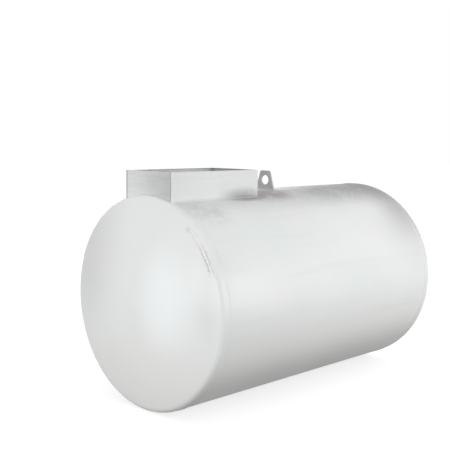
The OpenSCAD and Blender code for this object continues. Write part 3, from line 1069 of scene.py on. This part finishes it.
class TankStageSettings(bpy.types.PropertyGroup):
    """The floor, the lamps and the camera."""

    camera_place: bpy.props.FloatVectorProperty(
        name="Camera", description="Where the camera stands",
        default=(-4.21227, -3.71550, 1.61568), subtype="TRANSLATION", unit="LENGTH", precision=5)
    heading: angle_of("Heading", "The way the camera faces, from +X towards +Y", 44.092)
    pitch: angle_of("Pitch", "The camera's tilt up from level", -5.997)
    roll: angle_of("Roll", "The camera's turn about its own line of sight", 0.641)
    lens: bpy.props.FloatProperty(
        name="Lens", description="Focal length in millimetres", default=68.109, min=10)
    sky: bpy.props.FloatProperty(
        name="Room light", description="Strength of the light from all round",
        default=0.665, min=0)
    end_lamp: power_of("End lamp", "Power of the lamp before the front end", 131)
    side_lamp: power_of("Side lamp", "Power of the lamp beside the tank", 179)
    back_lamp: power_of("Back lamp", "Power of the lamp off the far corner", 122)
    rear_lamp: power_of("Rear lamp", "Power of the lamp behind the rear end", 60)


# ----------------------------------------------------------------- operators


class TANK_OT_finishes(bpy.types.Operator):
    """Mix the finishes and set out the rules that the pieces share"""

    bl_idname = "tank.finishes"
    bl_label = "Mix the finishes"

    def execute(self, context):
        scene = context.scene
        vessel_coat(scene.tank_coat)
        weld_coat(scene.tank_coat)
        brushed_sheet(scene.tank_box)
        zinc_plate()
        cast_alloy()
        cut_steel()
        sheet_rubber()
        weld_rule()
        ring_rule()
        thread_rule()
        return {"FINISHED"}


class TANK_OT_vessel(bpy.types.Operator):
    """Coat the shell, the dished ends and the hatch's neck and handles"""

    bl_idname = "tank.vessel"
    bl_label = "Coat the vessel"

    def execute(self, context):
        refinish("vessel_coat", "shell", "hatch_neck", "hatch_front_handle", "hatch_rear_handle")
        for node in ("front_head", "rear_head"):
            end = whole(f"{node}_dish", node, flat_deg=0)
            hand_over(end, "coated_steel", node, finish="vessel_coat")
        return {"FINISHED"}


class TANK_OT_butt_welds(bpy.types.Operator):
    """Lay the beads that join the ends to the shell and close the shell's own seam"""

    bl_idname = "tank.butt_welds"
    bl_label = "Lay the butt welds"

    def execute(self, context):
        weld = context.scene.tank_weld
        for node, x in (("front_head_weld", -JOINT_X), ("rear_head_weld", JOINT_X)):
            ring = [self.on_shell(x, a) for a in round_turn(720)]
            butt_weld(f"{node}_bead", node, weld, ring, closed=True)
        half, steps = JOINT_X - 7 * MM, 200
        line = [
            self.on_shell(half * (2 * k / steps - 1), weld.seam_angle) for k in range(steps + 1)]
        butt_weld("shell_seam_bead", "shell_seam_weld", weld, line, closed=False)
        return {"FINISHED"}

    @staticmethod
    def on_shell(x, angle):
        """A point on the shell at an angle up from +Y, and the way that the shell faces there."""
        face = Vector((0, math.cos(angle), math.sin(angle)))
        return Vector((x, 0, AXIS_Z)) + face * TANK_R, face


class TANK_OT_box(bpy.types.Operator):
    """Ease the edges of the box's four panels and brush their sheet"""

    bl_idname = "tank.box"
    bl_label = "Make the box"

    def execute(self, context):
        edge = context.scene.tank_box.edge
        for side in ("front", "rear", "left", "right"):
            node = f"box_{side}_panel"
            sheet = softened(f"box_{side}_sheet", node, edge)
            hand_over(sheet, "box_sheet", node, finish="brushed_sheet")
        return {"FINISHED"}


class TANK_OT_box_welds(bpy.types.Operator):
    """Weld the box's foot to the shell and its corners from the inside"""

    bl_idname = "tank.box_welds"
    bl_label = "Weld the box"

    def execute(self, context):
        weld = context.scene.tank_weld
        near = Vector((BOX_FRONT_X, -BOX_SIDE_Y))
        far = Vector((BOX_REAR_X - END_SET_BACK, BOX_SIDE_Y))
        foot = foot_path(oblong_plan(near, far, sides=3))
        fillet("box_base_fillet", ["box_base_weld"], weld.box_leg, weld, foot, closed=False)
        inner_y = BOX_SIDE_Y - SHEET_T
        inner_x = END_SET_BACK + SHEET_T
        corners, steps = [], 20
        for x, way in ((BOX_FRONT_X + inner_x, 1), (BOX_REAR_X - inner_x, -1)):
            for side in (-1, 1):
                low, _ = shell_plate(Vector((x, inner_y, 0)))
                face = Vector((way, -side, 0)).normalized()
                corners.append([
                    (Vector((x, side * inner_y, low.z + (RIM_BEND_Z - low.z) * k / steps)), face)
                    for k in range(steps + 1)
                ])
        fillet(
            "box_corner_fillets", ["box_corner_welds"], weld.corner_leg, weld, *corners,
            closed=False, size=0.94)
        return {"FINISHED"}


class TANK_OT_hatch(bpy.types.Operator):
    """Ease the hatch's flange, gasket and cover, and weld its neck and handles"""

    bl_idname = "tank.hatch"
    bl_label = "Make the hatch"

    def execute(self, context):
        edge = context.scene.tank_hatch.edge
        weld = context.scene.tank_weld
        for part, width, slot, finish in (
            ("flange", edge, "coated_steel", "vessel_coat"),
            ("gasket", 0.5 * MM, "gasket_rubber", "sheet_rubber"),
            ("cover", edge, "coated_steel", "vessel_coat"),
        ):
            node = f"hatch_{part}"
            hand_over(softened(f"{node}_ring", node, width), slot, node, finish=finish)
        foot = foot_path(ring_plan(HATCH_AT, NECK_R, 160))
        fillet("hatch_neck_fillet", ["hatch_neck_weld"], weld.fitting_leg, weld, foot)
        feet = []
        for handle in ("hatch_front_handle", "hatch_rear_handle"):
            low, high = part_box(handle)
            bar_r = (high.x - low.x) / 2
            for y in (low.y + bar_r, high.y - bar_r):
                at = Vector((low.x + bar_r, y, 0))
                feet.append(foot_path(ring_plan(at, bar_r, 40), level_plate(COVER_Z)))
        fillet("hatch_handle_fillets", [], 3.5 * MM, weld, *feet)
        return {"FINISHED"}


class TANK_OT_cover_bolts(bpy.types.Operator):
    """Bolt the cover down, each bolt with its washer and its nut"""

    bl_idname = "tank.cover_bolts"
    bl_label = "Fit the cover's bolts"

    def execute(self, context):
        hatch = context.scene.tank_hatch
        shank_r, washer_r = hatch.bolt_d / 2, hatch.bolt_d
        across, head_h, nut_h = 1.6 * hatch.bolt_d, 0.65 * hatch.bolt_d, 0.8 * hatch.bolt_d
        seat = COVER_Z + hatch.washer_t
        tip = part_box("hatch_bolts")[0].z
        washer = tube("washer", shank_r, washer_r, COVER_Z, seat, 0.5 * MM, ORIGIN, 36)
        head = hexagon("head", across, seat, seat + head_h, ORIGIN)
        nut = hexagon("nut", across, FLANGE_Z - nut_h, FLANGE_Z, ORIGIN, chamfer_low=True)
        shank = tube("shank", 0, shank_r, tip, seat, 1 * MM, ORIGIN, 24)
        bolt = joined("bolt_pattern", washer, head, nut, shank, sharp_deg=30)
        ring = ring_of(
            "hatch_bolt_set", bolt, hatch.bolt_count, hatch.bolt_circle, HATCH_AT, "zinc_plate",
            first_angle=math.pi / hatch.bolt_count, spread=math.radians(60), seed=3)
        hand_over(ring, "zinc_plated", "hatch_bolts", finish="zinc_plate")
        return {"FINISHED"}


class TANK_OT_sockets(bpy.types.Operator):
    """Turn the five pipe sockets, cut their threads and weld them to the shell"""

    bl_idname = "tank.sockets"
    bl_label = "Make the sockets"

    def execute(self, context):
        sockets = context.scene.tank_sockets
        weld = context.scene.tank_weld
        feet = []
        for node, bore_d in SOCKET_BORES.items():
            at, outer_r, foot, top = upright(node)
            bore_r = bore_d / 2
            pipe = tube(f"{node}_pipe", bore_r, outer_r, foot, top, sockets.edge, at, 96)
            pipe.materials.append(finish_named("vessel_coat"))
            ridge = thread(
                f"{node}_thread", at, top - sockets.edge, bore_r,
                sockets.ridge, sockets.pitch, sockets.depth, "cut_steel")
            piece = joined(f"{node}_pipe", pipe, ridge.data)
            discard(ridge)
            hand_over(piece, "coated_steel", node)
            feet.append(foot_path(ring_plan(at, outer_r, 80)))
        fillet("socket_fillets", ["socket_welds"], weld.fitting_leg, weld, *feet)
        return {"FINISHED"}


class TANK_OT_fill_cap(bpy.types.Operator):
    """Cast the fill cap, with its two ears and its ring of grip ribs"""

    bl_idname = "tank.fill_cap"
    bl_label = "Make the fill cap"

    def execute(self, context):
        sockets = context.scene.tank_sockets
        at, cap_r, foot, top = upright("fill_cap")
        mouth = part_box("fill_socket")[1].z
        rib = 1.4 * MM
        body = self.body(sockets.edge, at, foot, top, mouth, cap_r, cap_r - rib)
        ears = self.ears(at, mouth, at.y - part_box("fill_cap")[0].y, cap_r - 5 * MM)
        bar = tube("rib", 0, rib, mouth + 1 * MM, top - 3 * MM, 0.8 * MM, ORIGIN, 8)
        pattern = put_in_scene("rib_pattern", bar)
        ribs = ring_of("cap_ribs", pattern, sockets.ribs, cap_r - rib, at, "cast_alloy")
        cap = joined("fill_cap_casting", body, ears.data, ribs.data)
        discard(ears, ribs)
        hand_over(cap, "cap_alloy", "fill_cap", finish="cast_alloy")
        return {"FINISHED"}

    @staticmethod
    def body(edge, at, foot, top, mouth, cap_r, wall_r):
        """The cap without its ribs and ears: a neck in the bore, and a sunk top round a boss."""
        neck_r = SOCKET_BORES["fill_socket"] / 2 - 1.2 * MM
        rim, sunk = top - 1 * MM, top - 4 * MM
        return turned("cap_body", [
            (0, foot), (neck_r, foot), (neck_r, mouth), (wall_r, mouth),
            (wall_r, rim), (0.80 * cap_r, rim), (0.76 * cap_r, sunk),
            (0.34 * cap_r, sunk), (0.30 * cap_r, top), (0, top),
        ], edge, at, 96)

    @staticmethod
    def ears(at, mouth, reach, inner):
        """The two ears that stand out along Y, with round ends and eased edges."""
        half_w, height, arc_steps = 7 * MM, 10 * MM, 12
        shape = bmesh.new()
        for side in (-1, 1):
            outline = [(-half_w, inner), (half_w, inner)]
            for k in range(arc_steps + 1):
                a = math.pi * k / arc_steps
                outline.append((half_w * math.cos(a), reach - half_w + half_w * math.sin(a)))
            foot = shape.faces.new([
                shape.verts.new((at.x + side * x, at.y + side * y, mouth)) for x, y in outline])
            lifted = bmesh.ops.extrude_face_region(shape, geom=[foot])
            tops = [v for v in lifted["geom"] if isinstance(v, bmesh.types.BMVert)]
            bmesh.ops.translate(shape, verts=tops, vec=(0, 0, height))
        ears = put_in_scene("cap_ears", mesh_of("cap_ears", shape))
        return ease_edges(ears, 1.5 * MM, 50)


class TANK_OT_gauge_plug(bpy.types.Operator):
    """Turn the gauge socket's plug, with its collar and its chamfered hexagon"""

    bl_idname = "tank.gauge_plug"
    bl_label = "Make the gauge plug"

    def execute(self, context):
        sockets = context.scene.tank_sockets
        at, collar_r, foot, top = upright("gauge_plug")
        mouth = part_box("gauge_socket")[1].z
        bore_d = SOCKET_BORES["gauge_socket"]
        neck_r, collar_z = bore_d / 2 - 1.2 * MM, mouth + 6 * MM
        body = turned("plug_body", [
            (0, foot), (neck_r, foot), (neck_r, mouth),
            (collar_r, mouth), (collar_r, collar_z), (0, collar_z),
        ], sockets.edge, at)
        head = hexagon("plug_head", bore_d * math.cos(math.pi / 6), collar_z - 1 * MM, top, at)
        plug = joined("gauge_plug_turned", body, head, sharp_deg=30)
        hand_over(plug, "zinc_plated", "gauge_plug", finish="zinc_plate")
        return {"FINISHED"}


class TANK_OT_lug(bpy.types.Operator):
    """Grind the lifting lug's edges, weld it down, and tap the earthing boss"""

    bl_idname = "tank.lug"
    bl_label = "Make the lug and the earthing boss"

    def execute(self, context):
        lug = context.scene.tank_lug
        weld = context.scene.tank_weld
        plate = softened("lifting_lug_plate", "lifting_lug", lug.edge)
        hand_over(plate, "coated_steel", "lifting_lug", finish="vessel_coat")
        foot = foot_path(oblong_plan(*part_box("lifting_lug")))
        fillet("lug_fillet", ["lug_weld"], weld.fitting_leg, weld, foot)

        boss = softened("earthing_boss_turned", "earthing_boss", 0.8 * MM)
        at, _, _, top = upright("earthing_boss")
        ridge = thread(
            "earth_thread", at, top - 1 * MM, lug.earth_bore / 2,
            0.5 * MM, lug.earth_pitch, 14 * MM, "zinc_plate")
        tapped = joined("earthing_boss_tapped", boss.data, ridge.data)
        discard(boss, ridge)
        hand_over(tapped, "zinc_plated", "earthing_boss", finish="zinc_plate")
        return {"FINISHED"}


class TANK_OT_stage(bpy.types.Operator):
    """Set up the floor, the room's light, the lamps and the camera"""

    bl_idname = "tank.stage"
    bl_label = "Set up the studio"

    def execute(self, context):
        stage = context.scene.tank_stage
        self.floor()
        self.room(context.scene, stage.sky)
        for name, way, size in (
            ("end_lamp", (-5.6, -0.9, 0), (4.0, 1.6)),
            ("side_lamp", (2.0, -5.4, 0.8), (4.0, 4.0)),
            ("back_lamp", (3.6, 4.6, 0.2), (4.0, 4.0)),
            ("rear_lamp", (5.6, 1.8, 0), (2.4, 1.6)),
        ):
            self.lamp(name, Vector(way), size, getattr(stage, name))
        self.camera(context.scene, stage)
        context.scene.view_settings.view_transform = "Standard"
        return {"FINISHED"}

    @staticmethod
    def floor():
        """A wide floor, white but for the tank's shadow, that throws little light back."""
        to_light, to_camera, glow = (0.16, 0.16, 0.16, 1), (0.42, 0.42, 0.42, 1), 0.74
        shape = bmesh.new()
        bmesh.ops.create_grid(shape, x_segments=1, y_segments=1, size=40)
        floor = put_in_scene("floor", mesh_of("floor", shape))
        finish = Finish("studio_floor")
        seen = finish.seen()
        shadowed = finish.node("ShaderNodeBsdfDiffuse", None, {
            "Color": finish.blend(seen, to_light, to_camera)})
        white = finish.node("ShaderNodeEmission", None, {
            "Color": (1, 1, 1, 1), "Strength": seen * glow})
        both = finish.node("ShaderNodeAddShader", None, {0: shadowed, 1: white})
        finish.node("ShaderNodeOutputMaterial", None, {"Surface": both})
        floor.data.materials.append(finish.material)

    @staticmethod
    def room(scene, strength):
        """Even light from all round, which shows as plain white."""
        world = bpy.data.worlds.new("studio_room")
        world.use_nodes = True
        world.node_tree.nodes.clear()
        tree = Tree(world.node_tree)
        light, white = (
            tree.node("ShaderNodeBackground", None, {"Color": (1, 1, 1, 1), "Strength": power})
            for power in (strength, 1.0))
        both = tree.node("ShaderNodeMixShader", None, {0: tree.seen(), 1: light, 2: white})
        tree.node("ShaderNodeOutputWorld", None, {"Surface": both})
        scene.world = world

    @staticmethod
    def lamp(name, way, size, power):
        """A soft oblong lamp that stands off the tank's middle and shines on it."""
        light = bpy.data.lights.new(name, "AREA")
        light.energy = power
        light.shape = "RECTANGLE"
        light.size, light.size_y = size
        lamp = bpy.data.objects.new(name, light)
        lamp.matrix_world = (
            Matrix.Translation(Vector((0, 0, AXIS_Z)) + way)
            @ (-way).to_track_quat("-Z", "Y").to_matrix().to_4x4())
        bpy.context.scene.collection.objects.link(lamp)

    @staticmethod
    def camera(scene, stage):
        """The camera, turned by its heading, its pitch and its roll."""
        lens = bpy.data.cameras.new("camera")
        lens.lens = stage.lens
        lens.sensor_width = 36
        camera = bpy.data.objects.new("camera", lens)
        camera.matrix_world = (
            Matrix.Translation(stage.camera_place)
            @ Matrix.Rotation(stage.heading - math.pi / 2, 4, "Z")
            @ Matrix.Rotation(math.pi / 2 + stage.pitch, 4, "X")
            @ Matrix.Rotation(stage.roll, 4, "Z"))
        scene.collection.objects.link(camera)
        scene.camera = camera


# ------------------------------------------------------------- panel and run

SETTINGS = {
    "tank_coat": TankCoatSettings,
    "tank_weld": TankWeldSettings,
    "tank_box": TankBoxSettings,
    "tank_hatch": TankHatchSettings,
    "tank_sockets": TankSocketSettings,
    "tank_lug": TankLugSettings,
    "tank_stage": TankStageSettings,
}
OPERATORS = (
    TANK_OT_finishes,
    TANK_OT_vessel,
    TANK_OT_butt_welds,
    TANK_OT_box,
    TANK_OT_box_welds,
    TANK_OT_hatch,
    TANK_OT_cover_bolts,
    TANK_OT_sockets,
    TANK_OT_fill_cap,
    TANK_OT_gauge_plug,
    TANK_OT_lug,
    TANK_OT_stage,
)


class TANK_PT_sidebar(bpy.types.Panel):
    """The tank's settings and the steps that use them."""

    bl_label = "Underground fuel tank"
    bl_idname = "TANK_PT_sidebar"
    bl_space_type = "VIEW_3D"
    bl_region_type = "UI"
    bl_category = "Fuel tank"

    def draw(self, context):
        for name, group in SETTINGS.items():
            box = self.layout.box()
            box.label(text=group.__doc__)
            for setting in group.__annotations__:
                box.prop(getattr(context.scene, name), setting)
        for operator in OPERATORS:
            self.layout.operator(operator.bl_idname)


def register():
    for group in SETTINGS.values():
        bpy.utils.register_class(group)
    for name, group in SETTINGS.items():
        setattr(bpy.types.Scene, name, bpy.props.PointerProperty(type=group))
    for operator in OPERATORS:
        bpy.utils.register_class(operator)
    bpy.utils.register_class(TANK_PT_sidebar)


def unregister():
    bpy.utils.unregister_class(TANK_PT_sidebar)
    for operator in reversed(OPERATORS):
        bpy.utils.unregister_class(operator)
    for name, group in reversed(SETTINGS.items()):
        delattr(bpy.types.Scene, name)
        bpy.utils.unregister_class(group)


def main():
    """Registers the add-on and runs every step."""
    register()
    for operator in OPERATORS:
        group, step = operator.bl_idname.split(".")
        getattr(getattr(bpy.ops, group), step)()


if __name__ == "__main__":
    main()
